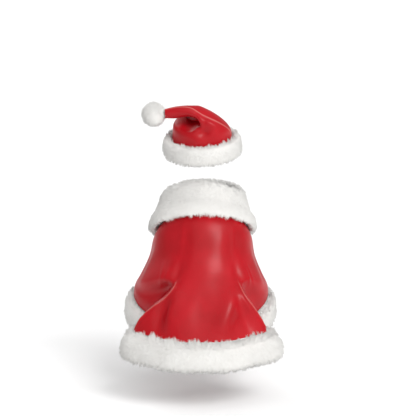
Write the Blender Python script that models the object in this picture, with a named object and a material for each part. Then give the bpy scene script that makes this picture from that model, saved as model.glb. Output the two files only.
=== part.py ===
"""Dog santa costume: a red cape with a fur collar and a fur hem, and a red cone hat with a fur brim and a pompom.

The cape and the hat are hollow and keep the pose in which they are worn, with the front at +Y. The origin is the
middle of the neck seam. Sizes below are in millimetres.
"""

import math
from typing import NamedTuple

import bmesh
import bpy
import numpy as np

MM = 0.001
SMOOTH_BELOW = math.radians(40.0)  # edges sharper than this stay sharp in shading

# Cloth and seams
CLOTH = 1.6  # coated cloth, the thickness of its wall
SEAM_GAP = 0.3  # between two pieces that are sewn together
FUR_FULLNESS = 0.75  # of a fur band's section, where 1 is an ellipse and less is fuller

# The neck seam, the cape's upper edge, which lies in one plane that leans forward
NECK_RADIUS = 38.5
NECK_LEAN = math.radians(28.0)
SHOULDER_RADIUS = 58.0
SHOULDER_DROP = 23.0  # below the neck seam, along the neck
FRONT_GAP = 4.0  # between the two front edges
SWAY = 0.032  # the costume leans this much to its right, from the hem up

# The fur band round the hem
HEM_BAND_HEIGHT = 37.0
HEM_BAND_THICKNESS = 25.0
HEM_BAND_HANG = 0.12  # 0 follows the cloth, 1 hangs straight down
HEM_ROWS = (0.97, 0.985, 1.0)  # the cape's last stretch, which gives the band its direction

# The fur collar, a stand that folds over into a fall
COLLAR_STAND = 20.0
COLLAR_STAND_MIDDLE = 11.0
COLLAR_ROLL = 6.0  # radius of the fold's middle line
COLLAR_HALF_THICKNESS = (2.6, 4.2, 5.4)  # stand, roll, lower edge of the fall
COLLAR_FALL = ((51.8, 12.0), (57.5, 1.0), (63.5, -9.5), (67.0, -20.5))  # radius and height of its middle line
COLLAR_END = math.radians(176.0)
COLLAR_ROUNDING = math.radians(24.0)  # stretch over which the fall's front corner rounds off
COLLAR_END_SHARE = 0.45  # of the fall that is left at its front edge
COLLAR_SECTIONS = 43
COLLAR_CROWDING = 1.5  # over 1 crowds the sections towards the front

# The hat, in a frame that leans back
HAT_CENTRE = (-2.0, 30.0, 96.7)  # middle of the crown's lower edge
HAT_LEAN = math.radians(14.0)
HAT_ROLL = math.radians(2.5)
BRIM_RADII = (46.0, 43.0)  # across and front to back, to the middle of the band
BRIM_TOP = 2.5  # above the crown's lower edge
BRIM_HEIGHT = 28.0
BRIM_THICKNESS = 13.0
BRIM_INNER_FULLNESS = 0.2  # its inner side is nearly flat
BRIM_SECTIONS = 36
POMPOM_RADIUS = 15.2
TAIL_ENDING = (0.97, 1.0)  # the crown's last stretch, which gives the pompom its direction
CROWN_ROWS = 22
CROWN_COLUMNS = 14  # of each of the two panels
INNER_SEAM = math.radians(-90.0)  # round the crown from the middle of its back, in the fold
OUTER_SEAM = math.radians(77.0)  # turned a little to the back

# The closure, a cloth tab across the front opening with a hook patch under it and a loop patch on the panel
TAB_ROWS = (0.30, 0.56)  # its upper and lower edge, down the cape
TAB_REACH = 0.42  # onto the panel from its front edge, counted in cape lines
PATCH_REACH = (0.05, 0.36)
TAB_THICKNESS = 1.4
PATCH_THICKNESS = 1.0
STRIP_POINTS = 5  # across and down each half of a strip


class CapeRing(NamedTuple):
    """One ring round the cape, given at the middle of the back, at the widest point and at the front edge."""

    name: str
    down: float  # share of the way from the neck seam to the hem
    back: tuple  # y, z
    side: tuple  # x, y, z
    front: tuple  # y, z
    late: float  # 1 where the ring lies in one plane, more where it turns down late


class FoldLine(NamedTuple):
    """A line down the cape. Down to the fold tips it runs at an angle round the rings. On the three rings below
    it either goes on so, or it is placed by its distance to the left and to the right, y and z."""

    name: str
    left: float  # degrees from the middle of the back
    right: float
    steps: int  # columns of faces between this line and the one nearer the middle of the back
    upper: tuple
    lower: tuple
    hem: tuple


class HatRing(NamedTuple):
    """One ring of the crown in the hat's own frame. Its inner point lies on the side to which the tip falls,
    and its outer point opposite. Its far side is at the front, and its near side at the back."""

    name: str
    along: float
    inner: tuple  # x, y, z
    outer: tuple  # x, y, z
    breadth: float  # from the middle to the far side
    rise: float  # of the far side over the middle, and of the middle over the near side


class Dent(NamedTuple):
    """A soft hollow that the fold presses into the crown."""

    name: str
    angle: float  # degrees round the crown from the middle of its back
    along: float
    depth: float
    width: float  # from its middle to where about a third of its depth is left


def on_neck(radius, height, angle):
    """A point round the leaning neck, with the angle counted from the middle of the back."""
    across = radius * math.sin(angle)
    back = radius * math.cos(angle)
    y = -back * math.cos(NECK_LEAN) + height * math.sin(NECK_LEAN)
    z = back * math.sin(NECK_LEAN) + height * math.cos(NECK_LEAN)
    return np.array((across, y, z))


def neck_ring(name, down, radius, height):
    """A ring of the cape that leans with the neck."""
    back, side, front = (on_neck(radius, height, math.radians(a)) for a in (0, 90, 180))
    return CapeRing(name, down, tuple(back[1:]), tuple(side), tuple(front[1:]), 1.0)


CAPE_RINGS = (
    neck_ring("neck_seam", 0.0, NECK_RADIUS, 0.0),
    neck_ring("shoulder", 0.14, SHOULDER_RADIUS, -SHOULDER_DROP),
    CapeRing("upper_back", 0.42, (-90.0, -42.0), (68.0, -17.0, -52.0), (49.0, -64.0), 1.3),
    CapeRing("fold_tips", 0.58, (-109.0, -68.0), (78.3, -23.0, -75.0), (54.0, -75.0), 1.5),
    CapeRing("upper_fold", 0.70, (-122.0, -87.0), (83.5, -25.0, -85.0), (56.0, -80.0), 1.6),
    CapeRing("lower_fold", 0.85, (-137.0, -113.0), (86.5, -27.0, -93.5), (57.5, -85.0), 1.8),
    CapeRing("hem", 1.0, (-148.0, -136.0), (87.0, -28.0, -101.0), (58.0, -90.0), 2.0),
)

CAPE_LINES = (
    FoldLine(
        "ridge", 17.0, 27.0, 4,
        (26.0, 38.0, -120.0, -87.0),
        (27.0, 33.0, -136.0, -112.0),
        (27.0, 29.0, -146.0, -136.0),
    ),
    FoldLine(
        "hollow", 20.5, 32.0, 3,
        (34.0, 47.0, -115.0, -85.5),
        (49.0, 55.0, -121.0, -110.5),
        (57.0, 60.0, -128.0, -134.0),
    ),
    FoldLine(
        "crest", 24.0, 36.0, 4,
        (41.0, 54.0, -112.0, -83.5),
        (70.5, 72.0, -112.0, -108.5),
        (83.0, 84.5, -108.0, -130.5),
    ),
    FoldLine(
        "root", 28.5, 41.0, 5,
        (40.0, 52.0, -94.0, -82.0),
        (57.0, 60.0, -86.0, -103.5),
        (64.0, 66.0, -78.0, -123.0),
    ),
    FoldLine(
        "flank", 50.0, 56.0, 4,
        (68.0, 71.0, -65.0, -88.0),
        (76.0, 77.0, -57.0, -100.5),
        (77.5, 78.0, -54.0, -113.0),
    ),
    FoldLine("side", 90.0, 90.0, 4, (), (), ()),
    FoldLine("chest", 135.0, 135.0, 4, (), (), ()),
    FoldLine("front_edge", 180.0, 180.0, 4, (), (), ()),
)
CAPE_ROWS = 20

HAT_RINGS = (
    HatRing("seam", 0.0, (-39.2, 0.0, -5.0), (39.2, 0.0, -5.0), 36.2, 0.0),
    HatRing("body", 0.17, (-37.8, 0.0, 11.0), (36.8, -5.0, 12.0), 34.0, 1.0),
    HatRing("rim", 0.28, (-35.0, -1.0, 20.0), (28.8, -13.0, 23.0), 28.0, 5.5),
    HatRing("lip", 0.38, (-25.0, -2.0, 24.0), (17.5, -17.0, 31.5), 22.3, 7.2),
    HatRing("pocket", 0.50, (-8.0, -3.0, 29.0), (2.0, -15.5, 38.5), 15.0, 6.5),
    HatRing("tail_root", 0.66, (-14.0, -5.0, 32.0), (-12.0, -11.0, 45.0), 10.5, 2.0),
    HatRing("tail", 0.83, (-30.5, -5.5, 29.2), (-30.0, -8.0, 45.5), 8.5, 0.0),
    HatRing("tail_end", 1.0, (-46.8, -6.0, 29.8), (-46.2, -6.5, 42.2), 5.6, 0.0),
)

HAT_DENTS = (
    Dent("pocket", -42.0, 0.42, 6.5, 7.0),
    Dent("pocket_end", -12.0, 0.48, 4.5, 5.5),
    Dent("back_hollow", 15.0, 0.31, 3.0, 9.0),
)


def smooth_curve(knots, values):
    """A natural cubic spline through the values, as a function of an array of places between the knots."""
    t = np.asarray(knots, float)
    p = np.asarray(values, float)
    step = np.diff(t)
    count = len(t)
    matrix = np.eye(count)
    bend = np.zeros_like(p)
    for i in range(1, count - 1):
        matrix[i, i - 1 : i + 2] = step[i - 1], 2 * (step[i - 1] + step[i]), step[i]
        bend[i] = 6 * ((p[i + 1] - p[i]) / step[i] - (p[i] - p[i - 1]) / step[i - 1])
    second = np.linalg.solve(matrix, bend.reshape(count, -1)).reshape(p.shape)

    def at(x):
        x = np.asarray(x, float)
        i = np.clip(np.searchsorted(t, x, side="right") - 1, 0, count - 2)
        shape = (-1,) + (1,) * (p.ndim - 1)
        h = step[i].reshape(shape)
        b = ((x - t[i]) / step[i]).reshape(shape)
        a = 1 - b
        curve = (a**3 - a) * second[i] + (b**3 - b) * second[i + 1]
        return a * p[i] + b * p[i + 1] + curve * h**2 / 6

    return at


def ring_point(ring, angle, side):
    """The point of a cape ring at an angle in radians from the middle of the back, on side -1 or 1."""
    end = ring.back if angle < math.pi / 2 else ring.front
    share = abs(math.cos(angle))
    x = side * ring.side[0] * math.sin(angle)
    y = ring.side[1] + (end[0] - ring.side[1]) * share
    z = ring.side[2] + (end[1] - ring.side[2]) * share**ring.late
    return np.array((x, y, z))


def line_points(line, side):
    """A cape line's points, one for each ring from the neck seam to the hem."""
    angle = math.radians(line.right if side > 0 else line.left)
    points = [ring_point(ring, angle, side) for ring in CAPE_RINGS]
    for i, place in enumerate((line.upper, line.lower, line.hem), len(CAPE_RINGS) - 3):
        if place:
            left, right, y, z = place
            points[i] = np.array((right if side > 0 else -left, y, z))
    if line.name == "front_edge":
        for point in points:
            point[0] = side * FRONT_GAP / 2
    return points


def cape_lines():
    """All lines of the cape, from its left front edge round the back to its right front edge."""
    middle = [ring_point(ring, 0.0, 1) for ring in CAPE_RINGS]
    left = [line_points(line, -1) for line in reversed(CAPE_LINES)]
    right = [line_points(line, 1) for line in CAPE_LINES]
    return np.array(left + [middle] + right)


def cape_columns():
    """Places of the columns of points round the cape, counted in lines: a set number of steps from each line to
    the next."""
    steps = [line.steps for line in CAPE_LINES]
    columns = [i + np.arange(count) / count for i, count in enumerate(steps[::-1] + steps)]
    return np.concatenate((*columns, (2.0 * len(steps),)))


def cape_surface(columns, rows):
    """Points of the cape's outer face: one row of points for each place down it."""
    down = smooth_curve([ring.down for ring in CAPE_RINGS], cape_lines().swapaxes(0, 1))
    grid = []
    for row in down(rows):
        knots = np.concatenate(((0.0,), np.cumsum(np.linalg.norm(np.diff(row, axis=0), axis=1))))
        places = np.interp(columns, np.arange(len(knots)), knots)
        grid.append(smooth_curve(knots, row)(places))
    return swayed(grid)


def swayed(points):
    """The points with the costume's lean to its right."""
    points = np.array(points, float)
    points[..., 0] += SWAY * points[..., 2]
    return points


def unit(vectors):
    """The vectors at length 1."""
    return vectors / np.linalg.norm(vectors, axis=-1, keepdims=True)


def outward(grid):
    """The outward normals of a grid of points whose rows run down it, and whose columns run from left to right
    round the back."""
    around = np.gradient(grid, axis=1)
    down = np.gradient(grid, axis=0)
    return unit(np.cross(down, around))


def hat_surface(angles, places):
    """Points of the crown in the hat's own frame, without its dents. Angle 0 is the back, 90 degrees the outer
    side, and -90 degrees the inner side."""
    table = [(ring.inner, ring.outer, (0.0, ring.breadth, ring.rise)) for ring in HAT_RINGS]
    rows = []
    for inner, outer, away in smooth_curve([ring.along for ring in HAT_RINGS], table)(places):
        middle = (inner + outer) / 2
        across = (outer - inner) / 2
        rows.append([middle + across * math.sin(a) - away * math.cos(a) for a in angles])
    return np.array(rows)


def make_object(name, bm, material, frame=None):
    """Turns a bmesh in millimetres into a named object in metres, placed by a frame if it has one."""
    bmesh.ops.scale(bm, vec=(MM, MM, MM), verts=bm.verts)
    mesh = bpy.data.meshes.new(name)
    bm.to_mesh(mesh)
    bm.free()
    mesh.shade_smooth()
    mesh.set_sharp_from_angle(angle=SMOOTH_BELOW)
    mesh.materials.append(material)
    obj = bpy.data.objects.new(name, mesh)
    obj.parent = frame
    bpy.context.scene.collection.objects.link(obj)


def grid_faces(bm, grid, closed_rows=False):
    """Adds a grid of points and its faces, and returns the vertices in rows."""
    verts = [[bm.verts.new(point) for point in row] for row in grid]
    for upper, lower in zip(verts, verts[1:]):
        pairs = list(zip(upper, lower))
        if closed_rows:
            pairs.append(pairs[0])
        for (a, b), (d, c) in zip(pairs, pairs[1:]):
            bm.faces.new((a, b, c, d))
    return verts


def grid_rim(verts):
    """The vertices round the rim of a grid, in order."""
    right = [row[-1] for row in verts[1:-1]]
    left = [row[0] for row in verts[-2:0:-1]]
    return verts[0] + right + verts[-1][::-1] + left


def cloth_wall(name, outer, normals, material, thickness=CLOTH, frame=None):
    """A sheet of cloth on a grid of outer points, with its wall on the inside."""
    bm = bmesh.new()
    front = grid_faces(bm, outer)
    back = grid_faces(bm, (outer - normals * thickness)[:, ::-1])
    edges = list(zip(grid_rim(front), grid_rim([row[::-1] for row in back])))
    for (a, b), (d, c) in zip(edges, edges[1:] + edges[:1]):
        bm.faces.new((a, b, c, d))
    bmesh.ops.recalc_face_normals(bm, faces=bm.faces)
    make_object(name, bm, material, frame)


def swept_band(name, sections, material, frame=None):
    """A band with capped ends whose closed sections follow each other. If the last section is the first one
    again, it is a ring with no caps."""
    bm = bmesh.new()
    verts = grid_faces(bm, sections, closed_rows=True)
    if sections[0] is sections[-1]:
        bmesh.ops.remove_doubles(bm, verts=bm.verts, dist=1e-4)
    else:
        bm.faces.new(verts[0])
        bm.faces.new(reversed(verts[-1]))
    bmesh.ops.recalc_face_normals(bm, faces=bm.faces)
    make_object(name, bm, material, frame)


def fur_outline(thickness, height, inner_fullness=FUR_FULLNESS, count=10):
    """A round-edged outline of a fur band as pairs: out from its middle, and down from its upper edge."""
    angles = np.linspace(0.0, 2 * math.pi, count, endpoint=False)
    sine, cosine = np.sin(angles), np.cos(angles)
    fullness = np.where(sine < 0, inner_fullness, FUR_FULLNESS)
    out = thickness / 2 * np.sign(sine) * np.abs(sine) ** fullness
    down = height / 2 * (1 - np.sign(cosine) * np.abs(cosine) ** FUR_FULLNESS)
    return np.stack((out, down), axis=1)


def make_cape(material):
    """The cape's one panel of coated cloth, open at the neck, at the hem and down the front."""
    grid = cape_surface(cape_columns(), np.linspace(0.0, 1.0, CAPE_ROWS + 1))
    cloth_wall("cape_panel", grid, outward(grid), material)


def hem_frames(columns):
    """Points of the hem with the directions out of the cloth and down along it."""
    grid = cape_surface(columns, np.array(HEM_ROWS))
    hem = grid[-1]
    hanging = np.array((0.0, 0.0, -1.0))
    down = unit(unit(hem - grid[0]) * (1 - HEM_BAND_HANG) + hanging * HEM_BAND_HANG)
    around = unit(np.gradient(hem, axis=0))
    for front in (0, -1):
        down[front, 0] = 0.0
        around[front] = (-1.0, 0.0, 0.0)
    out = unit(np.cross(down, around))
    return hem, out, unit(np.cross(around, out))


def make_hem_band(material):
    """The fur band sewn to the hem, one strip from front edge to front edge."""
    points, out, down = hem_frames(cape_columns())
    outline = fur_outline(HEM_BAND_THICKNESS, HEM_BAND_HEIGHT)
    middle = points - out * CLOTH / 2 + down * SEAM_GAP
    sections = [
        [m + o * across + d * along for across, along in outline] for m, o, d in zip(middle, out, down)
    ]
    swept_band("hem_band", sections, material)


def front_strip(right_reach, left_reach, lifts):
    """Points of a strip across the front opening, from one place on the panel's right part to one on its left
    part. The lifts are those of the right and of the left part off the panel."""
    end = 2.0 * len(CAPE_LINES)
    right = np.linspace(end - right_reach[1], end - right_reach[0], STRIP_POINTS) if right_reach else ()
    left = np.linspace(*left_reach, STRIP_POINTS)
    grid = cape_surface(np.concatenate((right, left)), np.linspace(*TAB_ROWS, STRIP_POINTS))
    normals = outward(grid)
    return grid + normals * np.repeat(lifts, (len(right), len(left)))[:, None], normals


def make_closure(cloth, tape):
    """The tab across the front opening and the two patches that hold it."""
    loop_lift = SEAM_GAP + PATCH_THICKNESS
    hook_lift = loop_lift + SEAM_GAP + PATCH_THICKNESS
    tab_lifts = (SEAM_GAP + TAB_THICKNESS, hook_lift + SEAM_GAP + TAB_THICKNESS)
    reach = (0.0, TAB_REACH)
    cloth_wall("closure_loop", *front_strip((), PATCH_REACH, (0.0, loop_lift)), tape, PATCH_THICKNESS)
    cloth_wall("closure_hook", *front_strip((), PATCH_REACH, (0.0, hook_lift)), tape, PATCH_THICKNESS)
    cloth_wall("closure_tab", *front_strip(reach, reach, tab_lifts), cloth, TAB_THICKNESS)


def collar_middle(fall_share):
    """Middle line of the collar's section, as pairs of radius and height on the neck, from the seam up the
    stand, over the roll and down the given share of the fall."""
    stand = [(NECK_RADIUS, SEAM_GAP), (NECK_RADIUS, COLLAR_STAND_MIDDLE)]
    roll = [
        (NECK_RADIUS + COLLAR_ROLL * (1 - math.cos(a)), COLLAR_STAND + COLLAR_ROLL * math.sin(a))
        for a in np.radians((0, 45, 90, 135))
    ]
    fall = smooth_curve(range(len(COLLAR_FALL)), COLLAR_FALL)
    ends = fall(np.linspace(0.0, (len(COLLAR_FALL) - 1) * fall_share, 4))
    return np.array([*stand, *roll, *ends])


def collar_outline(fall_share):
    """The closed outline of the collar's section round its middle line."""
    middle = collar_middle(fall_share)
    count = len(middle)
    half = smooth_curve((0, 4, count - 1), [(t,) for t in COLLAR_HALF_THICKNESS])(np.arange(count))
    along = unit(np.gradient(middle, axis=0))
    outside = np.stack((-along[:, 1], along[:, 0]), axis=1) * half
    tip = middle[-1] + along[-1] * half[-1]
    return np.concatenate((middle + outside, (tip,), (middle - outside)[::-1]))


def make_collar(material):
    """The fur collar: one band round the neck, folded over, with rounded front corners."""
    sections = []
    for turn in np.linspace(-1.0, 1.0, COLLAR_SECTIONS):
        angle = math.copysign(COLLAR_END * (1 - (1 - abs(turn)) ** COLLAR_CROWDING), turn)
        to_end = min(1.0, (COLLAR_END - abs(angle)) / COLLAR_ROUNDING)
        share = COLLAR_END_SHARE + (1 - COLLAR_END_SHARE) * math.sqrt(1 - (1 - to_end) ** 2)
        sections.append(swayed([on_neck(r, h, angle) for r, h in collar_outline(share)]))
    swept_band("collar", sections, material)


def make_hat_frame():
    """The hat's own frame, which leans back and rolls a little to its right."""
    frame = bpy.data.objects.new("hat_frame", None)
    frame.location = np.array(HAT_CENTRE) * MM
    frame.rotation_mode = "YXZ"
    frame.rotation_euler = (HAT_LEAN, -HAT_ROLL, 0.0)
    bpy.context.scene.collection.objects.link(frame)
    return frame


def dented(grid):
    """The crown's points with its dents pressed in."""
    normals = outward(grid)
    depths = np.zeros(grid.shape[:2] + (1,))
    for dent in HAT_DENTS:
        middle = hat_surface([math.radians(dent.angle)], [dent.along])[0, 0]
        far = np.linalg.norm(grid - middle, axis=2, keepdims=True)
        depths += dent.depth * np.exp(-((far / dent.width) ** 2))
    return grid - normals * depths


def make_crown(material, frame):
    """The crown's two panels, sewn together along the inner and the outer seam."""
    places = np.linspace(1.0, 0.0, CROWN_ROWS + 1)
    around_once = INNER_SEAM + 2 * math.pi
    for name, start, stop in (("crown_back", INNER_SEAM, OUTER_SEAM), ("crown_front", OUTER_SEAM, around_once)):
        angles = start + (stop - start) / CROWN_COLUMNS * np.arange(-1, CROWN_COLUMNS + 2)
        grid = dented(hat_surface(angles, places))
        normals = outward(grid)[:, 1:-1]
        around = unit(np.gradient(grid, axis=1))[:, 1:-1]
        grid = grid[:, 1:-1]
        grid[:, 0] += around[:, 0] * SEAM_GAP / 2
        grid[:, -1] -= around[:, -1] * SEAM_GAP / 2
        cloth_wall(name, grid, normals, material, frame=frame)


def make_brim(material, frame):
    """The fur brim, a closed ring round the crown's lower edge."""
    sections = []
    for angle in np.linspace(0.0, 2 * math.pi, BRIM_SECTIONS, endpoint=False):
        away = np.array((math.sin(angle), -math.cos(angle)))
        section = []
        for out, down in fur_outline(BRIM_THICKNESS, BRIM_HEIGHT, BRIM_INNER_FULLNESS):
            x, y = away * (np.array(BRIM_RADII) + out)
            section.append((x, y, BRIM_TOP - down))
        sections.append(section)
    swept_band("brim", [*sections, sections[0]], material, frame)


def make_pompom(material, frame):
    """The pompom, which sits in the mouth of the tail."""
    inner, outer = hat_surface(np.radians((-90, 90)), np.array(TAIL_ENDING)).swapaxes(0, 1)
    middles = (inner + outer) / 2
    mouth = np.linalg.norm(outer[1] - inner[1]) / 2 - CLOTH
    reach = math.sqrt((POMPOM_RADIUS + SEAM_GAP) ** 2 - mouth**2)
    middle = middles[1] + unit(middles[1] - middles[0]) * reach
    bm = bmesh.new()
    bmesh.ops.create_icosphere(bm, subdivisions=3, radius=POMPOM_RADIUS)
    bmesh.ops.translate(bm, vec=middle, verts=bm.verts)
    make_object("pompom", bm, material, frame)


def finish_material(name, colour, roughness):
    """A Principled material of one colour."""
    material = bpy.data.materials.new(name)
    material.use_nodes = True
    shader = material.node_tree.nodes["Principled BSDF"]
    shader.inputs["Base Color"].default_value = (*colour, 1.0)
    shader.inputs["Roughness"].default_value = roughness
    shader.inputs["Metallic"].default_value = 0.0
    return material


def main():
    for obj in list(bpy.data.objects):
        bpy.data.objects.remove(obj)
    red = finish_material("red_coated_cloth", (0.55, 0.015, 0.02), 0.4)
    fur = finish_material("white_fur", (0.9, 0.89, 0.87), 0.9)
    tape = finish_material("hook_and_loop_tape", (0.5, 0.02, 0.025), 0.85)
    make_cape(red)
    make_hem_band(fur)
    make_collar(fur)
    make_closure(red, tape)
    frame = make_hat_frame()
    make_crown(red, frame)
    make_brim(fur, frame)
    make_pompom(fur, frame)


if __name__ == "__main__":
    main()
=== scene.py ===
"""Looks of the dog santa costume: red coated cloth, white plush trims and a closure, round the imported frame.

Sizes are in millimetres until a mesh is made. +X is the costume's right side, +Y its front and +Z is up.
"""

import logging
import math
from collections.abc import Iterable, Sequence
from dataclasses import dataclass, field
from enum import Enum
from typing import Any

import bpy
import numpy as np
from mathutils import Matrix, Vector, kdtree, noise


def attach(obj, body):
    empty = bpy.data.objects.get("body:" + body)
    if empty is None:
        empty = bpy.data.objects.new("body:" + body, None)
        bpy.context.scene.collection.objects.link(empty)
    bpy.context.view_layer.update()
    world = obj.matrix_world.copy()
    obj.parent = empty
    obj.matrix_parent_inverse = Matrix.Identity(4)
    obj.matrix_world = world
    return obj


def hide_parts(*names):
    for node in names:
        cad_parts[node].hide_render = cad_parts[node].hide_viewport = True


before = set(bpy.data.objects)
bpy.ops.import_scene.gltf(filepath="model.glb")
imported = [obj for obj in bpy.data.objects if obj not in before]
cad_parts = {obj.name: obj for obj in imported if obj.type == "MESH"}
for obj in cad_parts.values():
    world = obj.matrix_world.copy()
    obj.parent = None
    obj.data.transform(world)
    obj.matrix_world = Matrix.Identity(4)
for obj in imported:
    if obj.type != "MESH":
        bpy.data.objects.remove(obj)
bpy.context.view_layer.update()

MM = 0.001
BODY = "root"
# About the distance between a Wave texture's bands at a scale of 1.
WAVE_BAND = 20 / 63
# Turns a face over and keeps its first corner, from which Blender splits it.
TURNED = [0, 3, 2, 1]
Array = np.ndarray
Material = bpy.types.Material
Piece = bpy.types.Object
log = logging.getLogger("costume")


class Slot(Enum):
    """The record's material slots."""

    CLOTH = "red_coated_cloth"
    FUR = "white_fur"
    TAPE = "hook_and_loop_tape"


def linear(hex_colour: str) -> tuple[float, float, float, float]:
    """Turns a colour to linear light.

    Args:
        hex_colour: An sRGB colour such as "#C21E2E".

    Returns:
        Linear red, green and blue, and an alpha of 1.
    """
    channels = [int(hex_colour[i : i + 2], 16) / 255 for i in (1, 3, 5)]
    red, green, blue = (c / 12.92 if c <= 0.04045 else ((c + 0.055) / 1.055) ** 2.4 for c in channels)
    return red, green, blue, 1.0


def scale_for(size_mm: float, repeat: float = 1.0) -> float:
    """Gives the scale at which a texture that repeats after so many units has a pattern of a real size."""
    return repeat / (size_mm * MM)


def set_node(node: bpy.types.Node, settings: dict[str | int, Any]) -> bpy.types.Node:
    """Sets a node's properties and inputs.

    Args:
        node: The node.
        settings: Values, each by the name of a property, or the name or number of an input. An output socket
            is linked to its input.

    Returns:
        The node.
    """
    for key, value in settings.items():
        if isinstance(value, bpy.types.NodeSocket):
            node.id_data.links.new(value, node.inputs[key])
        elif isinstance(key, str) and hasattr(node, key):
            setattr(node, key, value)
        else:
            node.inputs[key].default_value = value
    return node


def add_node(
    tree: bpy.types.NodeTree, kind: str, settings: dict[str | int, Any] | None = None, output: str | int = 0
) -> bpy.types.NodeSocket:
    """Adds a node with its settings and links.

    Args:
        tree: The node tree that it goes into.
        kind: The node's type, without the words ShaderNode before it.
        settings: The settings and links, as set_node takes them.
        output: The name or number of the output that is used.

    Returns:
        That output.
    """
    return set_node(tree.nodes.new("ShaderNode" + kind), settings or {}).outputs[output]


def new_material(name: str) -> tuple[Material, bpy.types.NodeTree, bpy.types.Node]:
    """Starts a material.

    Args:
        name: What the real material is and how it was made.

    Returns:
        The material, its node tree and its Principled shader.
    """
    material = bpy.data.materials.new(name)
    material.use_nodes = True
    tree = material.node_tree
    return material, tree, tree.nodes["Principled BSDF"]


@dataclass(frozen=True)
class CoatedCloth:
    """Knitted polyester with a polyurethane coat, embossed with a grain and pressed to a satin shine."""

    # To the eye it is an even deep red with a broad soft gleam. Along the edges of folds and seams a painted
    # highlight makes it paler.
    # The real grain is too fine to show, so it is drawn as coarse as it needs to be.
    colour: str = "#AF0918"
    deep: str = "#A00612"
    highlight_paint: str = "#D98A82"
    patch_mm: float = 38.0
    grain_mm: float = 1.1
    wave_mm: float = 7.0

    def build(self) -> Material:
        """Makes the face of the cloth: slow changes of tone, a grain, and a painted highlight that is paler
        along the edges of folds and seams.

        Returns:
            The material.
        """
        material, tree, shader = new_material("polyurethane_coated_knit_embossed_red")
        spot = add_node(tree, "TexCoord", output="Object")
        tone = add_node(tree, "TexNoise", {"Scale": scale_for(self.patch_mm), "Detail": 3.0, "Vector": spot})
        ramp = add_node(tree, "MapRange", {"From Min": 0.35, "From Max": 0.65, "Value": tone})
        reds = {0: ramp, 6: linear(self.deep), 7: linear(self.colour)}
        base = add_node(tree, "Mix", {"data_type": "RGBA", **reds}, 2)
        # A painted highlight: paler colour where the point attribute marks the edges of folds and seams.
        highlight_mask = add_node(tree, "Attribute", {"attribute_name": "painted_highlight"}, "Fac")
        highlighted = add_node(tree, "Mix", {"data_type": "RGBA", 0: highlight_mask, 6: base, 7: linear(self.highlight_paint)}, 2)
        grain = add_node(tree, "TexVoronoi", {"Scale": scale_for(self.grain_mm), "Vector": spot}, "Distance")
        waves = add_node(tree, "TexNoise", {"Scale": scale_for(self.wave_mm), "Detail": 4.0, "Vector": spot})
        soft = add_node(tree, "Bump", {"Strength": 0.25, "Distance": 0.5 * MM, "Height": waves})
        relief = {"Strength": 0.35, "Distance": 0.06 * MM, "Height": grain, "Normal": soft}
        fine = add_node(tree, "Bump", relief)
        shine = add_node(tree, "MapRange", {"To Min": 0.40, "To Max": 0.50, "Value": waves})
        set_node(shader, {"Base Color": highlighted, "Roughness": shine, "Normal": fine})
        set_node(shader, {"Specular IOR Level": 0.05, "Coat Weight": 0.38, "Coat Roughness": 0.3})
        return material


@dataclass(frozen=True)
class KnitBacking:
    """The knitted polyester that carries the coat, seen on the wrong side of the cloth."""

    # To the eye it is a dull dark red with small rows.
    # The real loops are too fine to show, so they are drawn coarser.
    colour: str = "#8F1B26"
    # Painted shade: the darker colour in the knit's valleys.
    painted_valley_shade: str = "#6E121B"
    wale_mm: float = 1.4
    course_mm: float = 1.1

    def build(self) -> Material:
        """Makes the wrong side: rows of small knit loops along the cloth's own width and length, with painted
        shade in the valleys between them.

        Returns:
            The material.
        """
        material, tree, shader = new_material("polyester_tricot_knit_backing_red")
        spot = add_node(tree, "UVMap", {"uv_map": "cloth"})
        waves = []
        for size, way in ((self.wale_mm, "X"), (self.course_mm, "Y")):
            bands = {"bands_direction": way, "Scale": scale_for(size, WAVE_BAND), "Distortion": 0.4}
            waves.append(add_node(tree, "TexWave", {**bands, "Vector": spot}, "Fac"))
        loops = add_node(tree, "Math", {"operation": "MULTIPLY", 0: waves[0], 1: waves[1]})
        # Painted shade darkens the colour where the loops are low.
        reds = {0: loops, 6: linear(self.painted_valley_shade), 7: linear(self.colour)}
        colour = add_node(tree, "Mix", {"data_type": "RGBA", **reds}, 2)
        bump = add_node(tree, "Bump", {"Strength": 0.6, "Distance": 0.2 * MM, "Height": loops})
        set_node(shader, {"Base Color": colour, "Normal": bump, "Roughness": 0.85, "Sheen Weight": 0.3})
        return material


@dataclass(frozen=True)
class PlushFur:
    """Acrylic faux fur, a dense sheared plush of matt white fibres."""

    # To the eye it is a soft white that is slightly warmer in patches and broken into small tufts.
    colour: str = "#E4E3E0"
    shade: str = "#D9D7D3"
    patch_mm: float = 16.0
    tuft_mm: float = 3.4

    def build(self) -> Material:
        """Makes the fibres: matt white with slightly warmer patches, and tufts.

        Returns:
            The material.
        """
        material, tree, shader = new_material("acrylic_plush_fur_white")
        spot = add_node(tree, "TexCoord", output="Object")
        tone = add_node(tree, "TexNoise", {"Scale": scale_for(self.patch_mm), "Detail": 4.0, "Vector": spot})
        whites = {0: tone, 6: linear(self.shade), 7: linear(self.colour)}
        colour = add_node(tree, "Mix", {"data_type": "RGBA", **whites}, 2)
        tufts = add_node(tree, "TexNoise", {"Scale": scale_for(self.tuft_mm), "Detail": 3.0, "Vector": spot})
        bump = add_node(tree, "Bump", {"Strength": 0.42, "Distance": 1.5 * MM, "Height": tufts})
        set_node(shader, {"Base Color": colour, "Normal": bump, "Roughness": 0.8})
        set_node(shader, {"Specular IOR Level": 0.25, "Sheen Weight": 0.15})
        return material


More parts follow.
